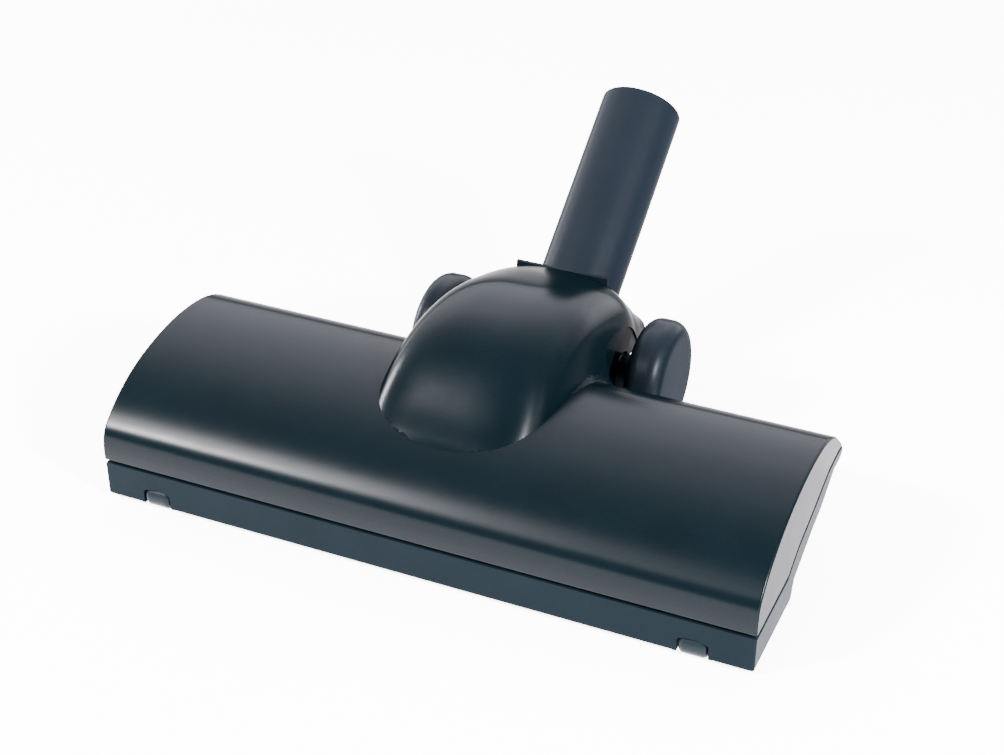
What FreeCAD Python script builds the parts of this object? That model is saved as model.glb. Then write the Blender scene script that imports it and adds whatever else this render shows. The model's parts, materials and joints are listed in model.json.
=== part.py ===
import FreeCAD, Part
import math
import os
import Sketcher
from FreeCAD import Vector, Placement, Rotation

# Vacuum turbo brush: an air-driven floor head.  Millimetres, +X to the right seen
# from the front, +Y to the back, +Z up, z = 0 is the floor.  Lengths along Y are
# counted from the front wall, and every piece is shifted back by y_shift so that
# the origin lies under the middle of the whole object.

doc = FreeCAD.newDocument("turbo_brush")
sheet = doc.addObject("Spreadsheet::Sheet", "Dims")

TABLE = [
    ("head_w", 290.0, "width of the head over its flat ends"),
    ("y_shift", 132.66, "front wall to the middle of the whole depth"),
    ("wall", 2.3, "wall of the casings"),
    ("end_wall", 2.3, "end walls of the top cover"),
    ("low_end_wall", 2.5, "end walls of the lower housing"),
    ("front_y", -0.8, "outer face of the lower front wall"),
    ("base_z", 1.8, "underside of the sole above the floor"),
    ("sole_z", 4.2, "inner face of the sole"),
    ("ctr_half", 34.5, "half width of the deep middle of the lower housing"),
    ("ctr_back", 156.0, "back edge of the deep middle"),
    ("win_x", 114.5, "half width of the brush window"),
    ("win_front", 12.7, "front edge of the brush window"),
    ("win_back", 44.3, "back edge of the brush window"),
    ("dome_floor", 30.0, "lower edge of the dome's skirt"),
    ("flare_w", 6.0, "flare at the back of the dome's flanks, width"),
    ("flare_h", 13.5, "flare at the back of the dome's flanks, height"),
    ("slot_half", 22.6, "half width of the neck slot"),
    ("slot_front", 156.0, "front lip of the neck slot"),
    ("pivot_y", 144.7, "tilt axis, which is also the wheel axis"),
    ("pivot_z", 27.25, "height of the tilt axis"),
    ("neck_lean", 52.9, "lean of the neck from upright at rest, degrees"),
    ("neck_drop", 4.9, "neck axis below the tilt axis, square to the neck"),
    ("collar_low", 6.0, "socket collar, start, from the axis"),
    ("drum_rad", 20.0, "yoke drum, outside"),
    ("drum_in", 17.6, "yoke drum, inside"),
    ("drum_half", 29.2, "half length of the yoke drum"),
    ("drum_in_half", 25.0, "half length of the drum's hollow"),
    ("collar_rad", 22.2, "socket collar, outside"),
    ("collar_end", 27.0, "socket collar, from the axis to its mouth"),
    ("swivel_rad", 19.4, "bore of the socket collar"),
    ("throat_rad", 16.0, "air throat under the socket"),
    ("shield_out", 34.4, "slot shield, outside radius"),
    ("shield_in", 32.7, "slot shield, inside radius"),
    ("shield_half", 20.6, "half width of the slot shield"),
    ("tube_rad", 19.3, "neck tube, outside"),
    ("tube_bore", 16.0, "neck tube, bore for the wand"),
    ("tube_stop", 15.0, "neck tube, bore below the wand stop"),
    ("tube_low", 14.8, "neck tube, lower end, from the axis"),
    ("tube_stop_at", 75.0, "wand stop, from the axis"),
    ("tube_end", 135.0, "neck tube, mouth, from the axis"),
    ("ring_at", 18.5, "retaining ring, middle, from the axis"),
    ("ring_w", 2.4, "retaining ring, width"),
    ("seal_at", 24.2, "neck seal, middle, from the axis"),
    ("seal_w", 2.4, "neck seal, width"),
    ("cheek_in", 29.5, "inner face of the pivot cheeks"),
    ("cheek_out", 32.8, "outer face of the pivot cheeks"),
    ("cheek_rad", 12.0, "round end of the pivot cheeks"),
    ("axle_rad", 4.0, "stub axle"),
    ("axle_bore", 4.06, "running bore on the stub axle"),
    ("axle_in", 25.4, "inner end of the stub axle"),
    ("bead_rad", 4.5, "snap bead of the stub axle"),
    ("wheel_rad", 27.25, "rear wheel"),
    ("wheel_in", 43.4, "rear wheel, inner face"),
    ("wheel_out", 60.6, "rear wheel, outer face"),
    ("wheel_round", 7.0, "rear wheel, shoulder radius"),
    ("hub_in", 34.9, "rear wheel, inner end of its hub"),
    ("hub_rad", 8.0, "rear wheel, hub"),
    ("blind_end", 57.2, "rear wheel, bottom of its blind bore"),
    ("snap_at", 52.0, "snap groove of the rear wheel, middle"),
    ("snap_w", 2.4, "snap groove, width"),
    ("snap_rad", 4.62, "snap groove, radius"),
    ("dish_rad", 20.0, "rear wheel, dish in the inner face"),
    ("dish_deep", 10.6, "rear wheel, depth of the dish"),
    ("roller_x", 120.2, "front roller, middle"),
    ("roller_y", 3.9, "front roller, axis"),
    ("roller_rad", 5.2, "front roller"),
    ("roller_w", 12.0, "front roller, width"),
    ("roller_pin", 1.5, "front roller pin"),
    ("roller_bore", 1.56, "front roller, bore"),
    ("notch_half", 6.5, "half width of the roller notch"),
    ("notch_top", 9.8, "top of the roller notch in the front wall"),
    ("brush_y", 28.5, "brush axis"),
    ("brush_z", 21.0, "brush axis"),
    ("bristle_rad", 20.4, "tip circle of the bristles"),
    ("core_rad", 13.5, "brush core"),
    ("core_half", 111.9, "half length of the brush core"),
    ("strip_w", 4.0, "bristle strip, width"),
    ("strip_root", 10.5, "bottom of the strip's groove in the core"),
    ("strip_turn", 70.0, "sweep of each half strip, degrees"),
    ("brush_shaft_rad", 3.0, "brush shaft"),
    ("brush_bush_bore", 3.05, "running bore on the brush shaft"),
    ("brush_bush_rad", 5.0, "brush bush, outside"),
    ("pitch", 3.0, "pitch of the toothed belt"),
    ("pulley_teeth", 24.0, "teeth of the brush pulley"),
    ("pinion_teeth", 12.0, "teeth of the turbine pinion"),
    ("belt_in", -126.0, "right edge of the belt"),
    ("belt_w", 8.0, "width of the belt"),
    ("turb_y", 87.07, "turbine axis"),
    ("turb_z", 43.5, "turbine axis"),
    ("turb_rad", 25.5, "turbine wheel"),
    ("turb_w", 32.0, "turbine wheel, width"),
    ("turb_hub", 6.5, "turbine wheel, hub"),
    ("blade_t", 1.3, "turbine blade, thickness"),
    ("blade_n", 12.0, "turbine blades"),
    ("turb_shaft_rad", 2.5, "turbine shaft"),
    ("case_rad", 28.5, "turbine case, outside"),
    ("case_in", 26.7, "turbine case, inside"),
    ("case_half", 20.0, "turbine case, half width"),
    ("case_in_half", 18.0, "turbine case, half width inside"),
    ("seat_rad", 5.8, "bearing seat, outside"),
    ("bear_rad", 4.5, "turbine bearing, outside"),
    ("bear_bore", 2.55, "turbine bearing, bore"),
    ("bear_w", 4.0, "turbine bearing, width"),
    ("screw_shank", 1.5, "housing screw, shank"),
    ("screw_head", 3.1, "housing screw, head"),
    ("cover_edge", 1.0, "rounding of the cover's ends and lower front edge"),
    ("low_edge", 1.2, "rounding of the lower housing's ends and lower front edge"),
]
for i, (alias, value, note) in enumerate(TABLE):
    sheet.set("A%d" % (i + 1), note)
    sheet.set("B%d" % (i + 1), str(value))
    sheet.setAlias("B%d" % (i + 1), alias)

# outer section of the cover, from the lower front edge over the crest to the back
PROFILE = [(-1.0, 19.4), (-1.08, 21.8), (-1.08, 24.6), (-0.72, 28.2), (0.5, 32.4), (4.5, 37.2), (10.0, 41.8), (17.0, 46.2),
           (25.0, 50.0), (34.0, 53.1), (44.0, 55.4), (56.0, 57.1), (66.0, 57.5), (76.0, 56.9),
           (86.0, 55.0), (94.0, 51.9), (101.0, 47.4), (106.5, 42.8), (112.2, 37.7)]
# seam between the two casings, seen on the end faces
SEAM = [(-1.0, 18.7), (40.0, 18.7), (52.0, 24.9), (72.0, 30.3), (92.0, 36.5), (104.0, 37.3), (112.3, 37.3)]
# dome: station along Y, height of its top, half width at its skirt, exponent of its rounded section
DOME = [(21.0, 47.2, 11.0, 3.5), (22.5, 48.7, 19.5, 3.5), (24.5, 50.1, 25.6, 3.5), (28.0, 52.7, 32.4, 3.45),
        (34.0, 57.3, 37.0, 3.35), (42.0, 64.2, 39.3, 3.2), (52.0, 72.6, 40.6, 3.1), (66.0, 80.8, 41.3, 3.0),
        (84.0, 84.7, 41.2, 3.0), (104.0, 83.5, 40.3, 3.0), (122.0, 78.5, 39.1, 3.0), (140.0, 72.2, 37.9, 3.0),
        (152.0, 67.2, 36.8, 2.95), (157.0, 65.0, 36.1, 2.8), (161.0, 62.2, 35.5, 2.6), (166.0, 57.2, 34.9, 2.5),
        (171.5, 50.6, 34.1, 2.4), (177.0, 43.4, 33.2, 2.4), (181.0, 38.0, 32.3, 2.4)]
# edge of the wheel wells in the dome's flanks
WELL = [(118.6, 26.0), (118.0, 36.0), (116.4, 43.5), (113.9, 49.6), (114.6, 53.6), (119.0, 55.3), (125.0, 55.3), (132.0, 54.4),
        (140.0, 52.0), (150.0, 47.4), (158.0, 41.0), (163.5, 33.0), (166.0, 26.0)]
row = len(TABLE) + 1
for name, rows in (("prof", PROFILE), ("seam", SEAM), ("dome", DOME), ("well", WELL)):
    for i, vals in enumerate(rows):
        for j, val in enumerate(vals):
            sheet.set("B%d" % row, str(val))
            sheet.setAlias("B%d" % row, "%s_%s_%d_pt" % (name, "yzwp"[j], i))
            row += 1
doc.recompute()


class Q:
    """A size: its value now, and the expression that binds it to the sheet."""

    def __init__(self, v, e=None):
        self.v = float(v)
        self.e = e if e is not None else repr(float(v))

    def __add__(self, o):
        o = q(o)
        return Q(self.v + o.v, "(%s + %s)" % (self.e, o.e))

    def __sub__(self, o):
        o = q(o)
        return Q(self.v - o.v, "(%s - %s)" % (self.e, o.e))

    def __mul__(self, o):
        o = q(o)
        return Q(self.v * o.v, "(%s * %s)" % (self.e, o.e))

    def __truediv__(self, o):
        o = q(o)
        return Q(self.v / o.v, "(%s / %s)" % (self.e, o.e))

    def __neg__(self):
        return Q(-self.v, "(-1 * %s)" % self.e)

    __radd__ = __add__

    def __rsub__(self, o):
        return q(o) - self


def q(x):
    return x if isinstance(x, Q) else Q(x)


def d(alias):
    return Q(float(sheet.get(alias)), "Dims." + alias)


def table(name, rows, cols):
    return [tuple(float(sheet.get("%s_%s_%d_pt" % (name, "yzwp"[j], i))) for j in range(cols))
            for i in range(len(rows))]


PROF = table("prof", PROFILE, 2)
SEAMS = table("seam", SEAM, 2)
DOMES = table("dome", DOME, 4)
WELLS = table("well", WELL, 2)
Y0 = d("y_shift").v
WALL = d("wall").v
PIV_Y, PIV_Z = d("pivot_y"), d("pivot_z")
LEAN = d("neck_lean").v
counter = [0]
NODES = []


def uid(stem):
    counter[0] += 1
    return "%s_%d" % (stem, counter[0])


def bind(obj, prop, val):
    """Sets a property to a size, bound to the sheet where the size comes from it."""
    val = q(val)
    if "Dims." in val.e:
        obj.setExpression(prop, val.e)
    else:
        target, parts = obj, prop.split(".")
        if len(parts) == 1:
            setattr(target, prop, val.v)
        else:
            p = obj.Placement
            base = Vector(p.Base)
            setattr(base, parts[-1], val.v)
            obj.Placement = Placement(base, p.Rotation)


def place(obj, x, y, z, rot=None, local=False):
    """Puts an object at a point given in the front-wall frame."""
    if rot is not None:
        obj.Placement = Placement(Vector(0, 0, 0), rot)
    bind(obj, "Placement.Base.x", x)
    bind(obj, "Placement.Base.y", q(y) if local else q(y) - d("y_shift"))
    bind(obj, "Placement.Base.z", z)


def box(x0, x1, y0, y1, z0, z1, name="block"):
    b = doc.addObject("Part::Box", uid(name))
    bind(b, "Length", q(x1) - q(x0))
    bind(b, "Width", q(y1) - q(y0))
    bind(b, "Height", q(z1) - q(z0))
    place(b, x0, y0, z0)
    return b


ALONG_X = Rotation(Vector(0, 1, 0), 90)
ALONG_NECK = Rotation(Vector(0, 0, 1), Vector(0, math.sin(math.radians(LEAN)), math.cos(math.radians(LEAN))))


def cyl_x(rad, x0, x1, y, z, name="round"):
    c = doc.addObject("Part::Cylinder", uid(name))
    bind(c, "Radius", rad)
    bind(c, "Height", q(x1) - q(x0))
    place(c, x0, y, z, ALONG_X)
    return c


def cyl_z(rad, x, y, z0, z1, name="post"):
    c = doc.addObject("Part::Cylinder", uid(name))
    bind(c, "Radius", rad)
    bind(c, "Height", q(z1) - q(z0))
    place(c, x, y, z0)
    return c


def cyl_y(rad, x, y0, y1, z, flat, name="arch"):
    """A flattened round along Y: half width rad, half height rad times flat."""
    e = doc.addObject("Part::Ellipse", uid(name + "_line"))
    bind(e, "MajorRadius", rad)
    bind(e, "MinorRadius", q(rad) * flat)
    place(e, x, y0, z, Rotation(Vector(1, 0, 0), 90))
    p = doc.addObject("Part::Extrusion", uid(name))
    p.Base = e
    p.DirMode = "Custom"
    p.Dir = Vector(0, 1, 0)
    p.Solid = True
    bind(p, "LengthFwd", q(y1) - q(y0))
    return p


SINL, COSL = math.sin(math.radians(LEAN)), math.cos(math.radians(LEAN))


def cyl_neck(rad, a, b, name="neck"):
    """A cylinder on the neck's axis, from a to b along it, counted from the pivot."""
    c = doc.addObject("Part::Cylinder", uid(name))
    bind(c, "Radius", rad)
    bind(c, "Height", q(b) - q(a))
    s = Q(SINL, "sin(Dims.neck_lean * 1deg)")
    k = Q(COSL, "cos(Dims.neck_lean * 1deg)")
    drop = d("neck_drop")
    place(c, 0, PIV_Y + q(a) * s + drop * k, PIV_Z + q(a) * k - drop * s, ALONG_NECK)
    return c


def fuse(parts, name="joined"):
    if len(parts) == 1:
        return parts[0]
    f = doc.addObject("Part::MultiFuse", uid(name))
    f.Shapes = parts
    return f


def cut(base, tools, name="trimmed"):
    c = doc.addObject("Part::Cut", uid(name))
    c.Base = base
    c.Tool = fuse(tools, "tools")
    return c


def common(parts, name="shared"):
    c = doc.addObject("Part::MultiCommon", uid(name))
    c.Shapes = parts
    return c


def rounded(obj, alias, test, name="rounding"):
    """Rounds the edges of a section's extrusion that the test picks."""
    doc.recompute()
    size = d(alias).v
    f = doc.addObject("Part::Fillet", uid(name))
    f.Base = obj
    f.Edges = [(i + 1, size, size) for i, e in enumerate(obj.Shape.Edges) if test(e.BoundBox)]
    return f


def on_end(b):
    return b.XLength < 1e-6 and abs(abs(b.XMin) - HALF.v) < 1e-6


def along_x(b):
    return b.XLength > 200 and b.YLength < 0.05 and b.ZLength < 0.05


def node(obj, label):
    obj.Label = label
    NODES.append(obj)
    return obj


ROT_YZ = Rotation(Vector(1, 1, 1), 120)  # a sketch's x to +Y, its y to +Z, its normal to +X


def prism(points, half, name="prism", spline=0):
    """A section in the YZ plane, made equally to both sides of x = 0.  The first
    'spline' points are joined by one smooth curve, the others by straight lines."""
    s = doc.addObject("Sketcher::SketchObject", uid(name + "_section"))
    pts = [Vector(y, z, 0) for y, z in points]
    if spline:
        c = Part.BSplineCurve()
        c.interpolate(pts[:spline])
        s.addGeometry(c, False)
        rest = pts[spline - 1:] + [pts[0]]
    else:
        rest = pts + [pts[0]]
    for a, b in zip(rest[:-1], rest[1:]):
        s.addGeometry(Part.LineSegment(a, b), False)
    s.Placement = Placement(Vector(0, -Y0, 0), ROT_YZ)
    s.setExpression("Placement.Base.y", "-1 * Dims.y_shift")
    e = doc.addObject("Part::Extrusion", uid(name))
    e.Base = s
    e.DirMode = "Normal"
    e.Solid = True
    e.Symmetric = True
    bind(e, "LengthFwd", q(half) * 2)
    return e


def offset_inward(points, dist):
    out = []
    for i, (y, z) in enumerate(points):
        y0, z0 = points[max(i - 1, 0)]
        y1, z1 = points[min(i + 1, len(points) - 1)]
        ty, tz = y1 - y0, z1 - z0
        n = math.hypot(ty, tz)
        out.append((y + dist * tz / n, z - dist * ty / n))
    return out


# ---------------------------------------------------------------- turned pieces
def origin_plane(body, which):
    for f in body.Origin.OriginFeatures:
        if f.Role == which:
            return f


def new_body(name):
    b = doc.addObject("PartDesign::Body", uid(name))
    return b


def new_sketch(body, plane, name):
    s = body.newObject("Sketcher::SketchObject", uid(name))
    s.AttachmentSupport = [(origin_plane(body, plane), "")]
    s.MapMode = "FlatFace"
    return s


def polygon(s, pts):
    """A closed outline, each corner held by two sizes from the sheet."""
    n = len(pts)
    pts = [(q(a), q(b)) for a, b in pts]
    for i in range(n):
        a, b = pts[i], pts[(i + 1) % n]
        s.addGeometry(Part.LineSegment(Vector(a[0].v, a[1].v, 0), Vector(b[0].v, b[1].v, 0)), False)
    for i in range(n):
        s.addConstraint(Sketcher.Constraint("Coincident", i, 2, (i + 1) % n, 1))
    for i, (a, b) in enumerate(pts):
        for kind, val in (("DistanceX", a), ("DistanceY", b)):
            idx = s.addConstraint(Sketcher.Constraint(kind, -1, 1, i, 1, val.v))
            if "Dims." in val.e:
                s.setExpression("Constraints[%d]" % idx, val.e)


def turned(label, outline, x=0, y=0, z=0, rot=None):
    """A turned piece: outline points are (along the axis, radius)."""
    b = new_body(label)
    s = new_sketch(b, "XY_Plane", label + "_outline")
    polygon(s, outline)
    r = b.newObject("PartDesign::Revolution", uid(label + "_turn"))
    r.Profile = s
    r.ReferenceAxis = (s, ["H_Axis"])
    r.Angle = 360
    b.Tip = r
    place(b, x, y, z, rot)
    return b, r


def round_edges(body, feature, radius, test, name="rounding"):
    doc.recompute()
    edges = []
    for i, e in enumerate(feature.Shape.Edges):
        if test(e):
            edges.append("Edge%d" % (i + 1))
    f = body.newObject("PartDesign::Fillet", uid(name))
    f.Base = (feature, edges)
    bind(f, "Radius", radius)
    body.Tip = f
    doc.recompute()
    return f


def ring_edge(x, r, tol=0.05):
    def test(e):
        c = e.Curve
        return c.TypeId == "Part::GeomCircle" and abs(c.Center.x - x) < tol and abs(c.Radius - r) < tol
    return test


def tube_outline(x0, x1, r0, r1):
    return [(x0, r0), (x1, r0), (x1, r1), (x0, r1)]


def rod_outline(x0, x1, r):
    return [(x0, 0), (x1, 0), (x1, r), (x0, r)]


# ------------------------------------------------------------------- top cover
HALF = d("head_w") / 2


def dome_solid(shrink, y_first, y_last, name):
    """The dome as a loft through rounded sections along Y."""
    z0 = d("dome_floor").v
    wires = []
    for y, top, half, power in DOMES:
        if y < y_first - 0.01:
            continue
        h, a = top - z0 - shrink, half - shrink
        pts = []
        for k in range(25):
            t = math.pi * k / 24
            c, sn = math.cos(t), math.sin(t)
            px = a * math.copysign(abs(c) ** (2.0 / power), c)
            pz = z0 + h * abs(sn) ** (2.0 / power)
            pts.append(Vector(px, y, pz))
        curve = Part.BSplineCurve()
        curve.interpolate(pts)
        down = 6.0
        p0, p1 = pts[-1], pts[0]
        q0, q1 = Vector(p0.x, y, z0 - down), Vector(p1.x, y, z0 - down)
        wires.append(Part.Wire([curve.toShape(), Part.makeLine(p0, q0), Part.makeLine(q0, q1), Part.makeLine(q1, p1)]))
    if y_last > DOMES[-1][0]:
        w = wires[-1].copy()
        w.translate(Vector(0, y_last - DOMES[-1][0], 0))
        solid_tail = Part.makeLoft([wires[-1], w], True, True)
    else:
        solid_tail = None
    solid = Part.makeLoft(wires, True, False)
    f = doc.addObject("Part::Feature", uid(name))
    f.Shape = solid
    f.Placement = Placement(Vector(0, -Y0, 0), Rotation())
    if solid_tail is None:
        return [f]
    g = doc.addObject("Part::Feature", uid(name + "_tail"))
    g.Shape = solid_tail
    g.Placement = Placement(Vector(0, -Y0, 0), Rotation())
    return [f, g]


GAP = 0.7  # half of the visible seam groove
seam_up = [(y, z + GAP) for y, z in SEAMS]
cover_outer = prism(PROF + [(y, z) for y, z in reversed(seam_up[1:-1])] + [(-1.0, seam_up[0][1])][:0],
                    HALF, "cover_outer", spline=len(PROF))
cover_outer = rounded(cover_outer, "cover_edge", lambda b: (on_end(b) and b.YLength > 100)
                      or (along_x(b) and b.ZMin < 20 and b.YMin + Y0 < 0), "cover_rounded")
inner_prof = offset_inward(PROF, WALL)
inner_prof[0] = (inner_prof[0][0], 10.0)
inner_prof[-1] = (inner_prof[-1][0], 30.0)
cover_inner = prism([inner_prof[0]] + inner_prof[1:] , HALF - d("end_wall"), "cover_inner")
dome_outer = dome_solid(0.0, 0.0, 0.0, "dome_outer")
dome_inner = dome_solid(WALL, 24.0, 200.0, "dome_inner")
skirt = box(-60, 60, 0, 200, 0, d("dome_floor"), "below_skirt")
dome_trim = cut(dome_outer[0], [skirt], "dome_trim")
seam_prism = prism([(-20, -20)] + [(-20, seam_up[0][1])] + seam_up + [(112.3, 20.0), (112.3, -20)], 80, "below_seam")
dome_front = cut(dome_trim, [seam_prism], "dome_front")
# concave flare between the dome's flanks and the cover, wider towards the back
prof_curve = Part.BSplineCurve()
prof_curve.interpolate([Vector(0, y, z) for y, z in PROF])
PROF_FINE = [(v.y, v.z) for v in prof_curve.discretize(600)]


def along(rows, y, col):
    for r0, r1 in zip(rows[:-1], rows[1:]):
        if r0[0] <= y <= r1[0]:
            f = (y - r0[0]) / (r1[0] - r0[0])
            return r0[col] + f * (r1[col] - r0[col])
    return rows[-1][col]


def dome_x(y, z):
    h = along(DOMES, y, 1) - d("dome_floor").v
    a = along(DOMES, y, 2)
    power = along(DOMES, y, 3)
    t = max(0.0, z - d("dome_floor").v) / h
    return a * max(0.0, 1 - t ** power) ** (1 / power)


def flare(side):
    wires = []
    for y in (60.0, 70.0, 80.0, 90.0, 98.0, 105.0, 109.5, 112.0):
        f = (y - 56.0) / (112.0 - 56.0)
        w, h = 0.25 + d("flare_w").v * f ** 1.8, 0.25 + d("flare_h").v * f ** 1.5
        zc = along(PROF_FINE, y, 1)
        s = Vector(side * (dome_x(y, zc + h) - 0.35), y, zc + h)
        e = Vector(side * (dome_x(y, zc) + w), y, zc - 0.3)
        m = Vector(side * (dome_x(y, zc + 0.3 * h) + 0.22 * w), y, zc + 0.22 * h)
        bez = Part.BezierCurve()
        bez.setPoles([s, m, e])
        p1 = Vector(side * (dome_x(y, zc) - 5), y, zc - 1.4)
        p2 = Vector(side * (dome_x(y, zc + h) - 5), y, zc + h)
        wires.append(Part.Wire([bez.toShape(), Part.makeLine(e, p1), Part.makeLine(p1, p2), Part.makeLine(p2, s)]))
    o = doc.addObject("Part::Feature", uid("flare"))
    o.Shape = Part.makeLoft(wires, True, False)
    o.Placement = Placement(Vector(0, -Y0, 0), Rotation())
    return o


cover_skin = fuse([cover_outer, dome_front, flare(1), flare(-1)], "cover_skin")
slot = box(-d("slot_half"), d("slot_half"), d("slot_front"), 200, 0, 120, "neck_slot")
notches = [cyl_x(9.0, 30.5, 60, PIV_Y, PIV_Z, "hub_notch"), cyl_x(9.0, -60, -30.5, PIV_Y, PIV_Z, "hub_notch")]
# the dome's flanks step inwards behind their rim, to make room for the wheels
well_out = cut(prism(WELLS, 60, "well", spline=len(WELLS)), [box(-34.8, 34.8, 90, 200, 0, 80, "between_wells")], "wells")
wider = [(139.0 + (y - 139.0) * 1.075, 36.0 + (z - 36.0) * 1.1) for y, z in WELLS]
well_in = cut(prism(wider, 60, "well_wall", spline=len(wider)), [box(-33.1, 33.1, 90, 200, 0, 80, "between_wells")], "well_walls")
dome_room = [cut(dome_inner[0], [well_in], "dome_room")]
cover_shell = cut(cover_skin, [cover_inner] + dome_room + [slot, well_out] + notches, "cover_shell")
# walls that close the dome's cheeks towards the neck
cheek_walls = []
for side in (-1, 1):
    a, b = d("slot_half"), d("slot_half") + 1.9
    w = box(a, b, 146.0, 180.5, d("dome_floor"), 70, "cheek_wall") if side > 0 else \
        box(-b, -a, 146.0, 180.5, d("dome_floor"), 70, "cheek_wall")
    cheek_walls.append(w)
walls = common([fuse(cheek_walls, "cheek_walls"), dome_trim], "cheek_walls_trim")
walls_clear = cut(walls, [cyl_x(21.4, -40, 40, PIV_Y, PIV_Z, "drum_room"),
                          cyl_x(36.0, -22.55, 22.55, PIV_Y, PIV_Z, "shield_room")], "cheek_walls_clear")
# screw posts that hang from the cover
SCREWS = [(-138.7, 58.0, 14.6, 26.1, 57.4), (138.7, 58.0, 14.6, 26.1, 57.4),
          (-70.0, 101.0, 30.9, 37.1, 46.0), (70.0, 101.0, 30.9, 37.1, 46.0)]
posts = [cyl_z(3.6, x, y, zs + 0.5, zt, "cover_post") for x, y, zb, zs, zt in SCREWS]
post_trim = common([fuse(posts, "posts"), cover_outer], "cover_posts")
holes = [cyl_z(d("screw_shank"), x, y, zb, zs + 8.5, "post_hole") for x, y, zb, zs, zt in SCREWS]
node(cut(fuse([cover_shell, walls_clear, post_trim], "cover_all"), holes, "cover_final"), "top_cover")

# --------------------------------------------------------------- lower housing
FY, BZ, SZ = d("front_y"), d("base_z"), d("sole_z")
seam_dn = [(y, z - GAP) for y, z in SEAMS]
low_outer = prism([(FY.v, seam_dn[0][1]), (FY.v, BZ.v), (48.0, BZ.v), (51.0, 10.0),
                   (60.0, 13.5), (74.0, 18.7), (85.0, 21.6), (98.0, 28.0), (102.0, 30.2), (110.9, 30.2),
                   (113.8, 31.4), (114.8, 33.2), (114.2, 35.2), (112.6, seam_dn[-1][1])]
                  + [p for p in reversed(seam_dn[1:-1])], HALF, "low_outer")
low_outer = rounded(low_outer, "low_edge", lambda b: on_end(b) or (along_x(b) and b.ZMin < 3 and b.YMin + Y0 < 1), "low_rounded")
low_inner = prism([(FY.v + 2.3, 60.0), (FY.v + 2.3, SZ.v), (46.6, SZ.v), (49.5, 12.1), (59.2, 15.9), (73.2, 21.1),
                   (84.2, 24.0), (97.0, 30.3), (101.3, 32.6), (110.2, 32.6), (111.6, 34.0), (110.3, 60.0)],
                  HALF - d("low_end_wall"), "low_inner")
tray = cut(low_outer, [low_inner], "tray")
CH = d("ctr_half")
centre = cut(box(-CH, CH, 44.0, d("ctr_back"), BZ, d("dome_floor") - 0.4, "centre_outer"),
             [box(-(CH - 1.7), CH - 1.7, 20.0, d("ctr_back") + 5, SZ, 60, "centre_inner"),
              box(-60, 60, 40.0, 50.5, SZ, 60, "brush_room"),
              box(-50, 50, 148.0, 200, 8.3, 60, "tilt_room"), box(-25, 25, 147.0, 200, 0, 60, "collar_room")], "centre")
tray_open = cut(tray, [box(-(CH - 1.7), CH - 1.7, 40.0, 125.0, SZ, 60, "centre_mouth"),
                       box(-40.3, 40.3, 103.0, 125.0, 29.6, 60, "skirt_room")], "tray_open")
cheeks = []
for side in (-1, 1):
    x0, x1 = (d("cheek_in"), d("cheek_out")) if side > 0 else (-d("cheek_out"), -d("cheek_in"))
    plate = fuse([cyl_x(d("cheek_rad"), x0, x1, PIV_Y, PIV_Z, "cheek_end"),
                  box(x0, x1, 126.0, PIV_Y + 8, BZ + 0.5, PIV_Z, "cheek_plate")], "cheek")
    cheeks.append(plate)
# tongue inside the seam, along the front and the flat part of the ends
tongue = [box(-142.6, 142.6, 1.35, 2.6, 13.0, 21.0, "tongue"),
          cut(prism([(1.35, 12.5), (40.0, 12.5), (53.0, 19.0), (72.0, 26.0), (92.0, 32.6), (104.0, 33.6), (107.4, 33.6),
                     (105.6, 37.8), (103.6, 39.0), (92.0, 39.4), (72.0, 33.2), (52.0, 27.4), (40.0, 21.0), (1.35, 21.0)],
                    142.6, "end_tongue"), [box(-141.3, 141.3, 0, 130, 0, 60, "between_tongues")]
              + [cyl_z(4.1, x, y, 20, 45, "post_room") for x, y, zb, zs, zt in SCREWS[:2]], "end_tongues")]
pockets_out, pockets_in = [], []
NH, RX = d("notch_half"), d("roller_x")
for side in (-1, 1):
    c = RX if side > 0 else -RX
    pockets_out.append(box(c - NH - 1.5, c + NH + 1.5, FY + 0.5, 11.0, BZ, 12.2, "roller_pocket"))
    pockets_in.append(box(c - NH, c + NH, FY - 2, 3.0, 0, d("notch_top") - 2.0, "roller_notch"))
    pockets_in.append(cyl_y(NH, c, FY - 2, 3.0, d("notch_top") - 2.0, 2.0 / 6.5, "notch_arch"))
    pockets_in.append(box(c - NH, c + NH, FY + 1.0, 9.7, 0, 10.9, "roller_room"))
    pockets_in.append(cyl_x(d("roller_pin"), c - NH - 1.0, c + NH + 1.0, d("roller_y"), d("roller_rad"), "pin_seat"))
low_posts = [cyl_z(4.0, x, y, zb - 6, zs - 0.5, "low_post") for x, y, zb, zs, zt in SCREWS]
posts_in = common([fuse(low_posts, "low_posts"), low_outer], "low_posts_trim")
# pedestal under the left turbine bearing: a saddle that holds the lower half of its seat
TY, TZ = d("turb_y"), d("turb_z")
pedestal = cut(box(-124.8, -119.2, TY - 8, TY + 8, 20.0, TZ, "pedestal"),
               [cyl_x(d("seat_rad"), -126, -118, TY, TZ, "saddle")], "pedestal_cut")
pedestal_trim = cut(pedestal, [prism([(60, -5), (60, 14.6), (74.0, 19.7), (85.0, 22.6), (98.0, 29.0), (110, 29), (110, -5)],
                                     HALF, "under_pan")], "pedestal_trim")
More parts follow.
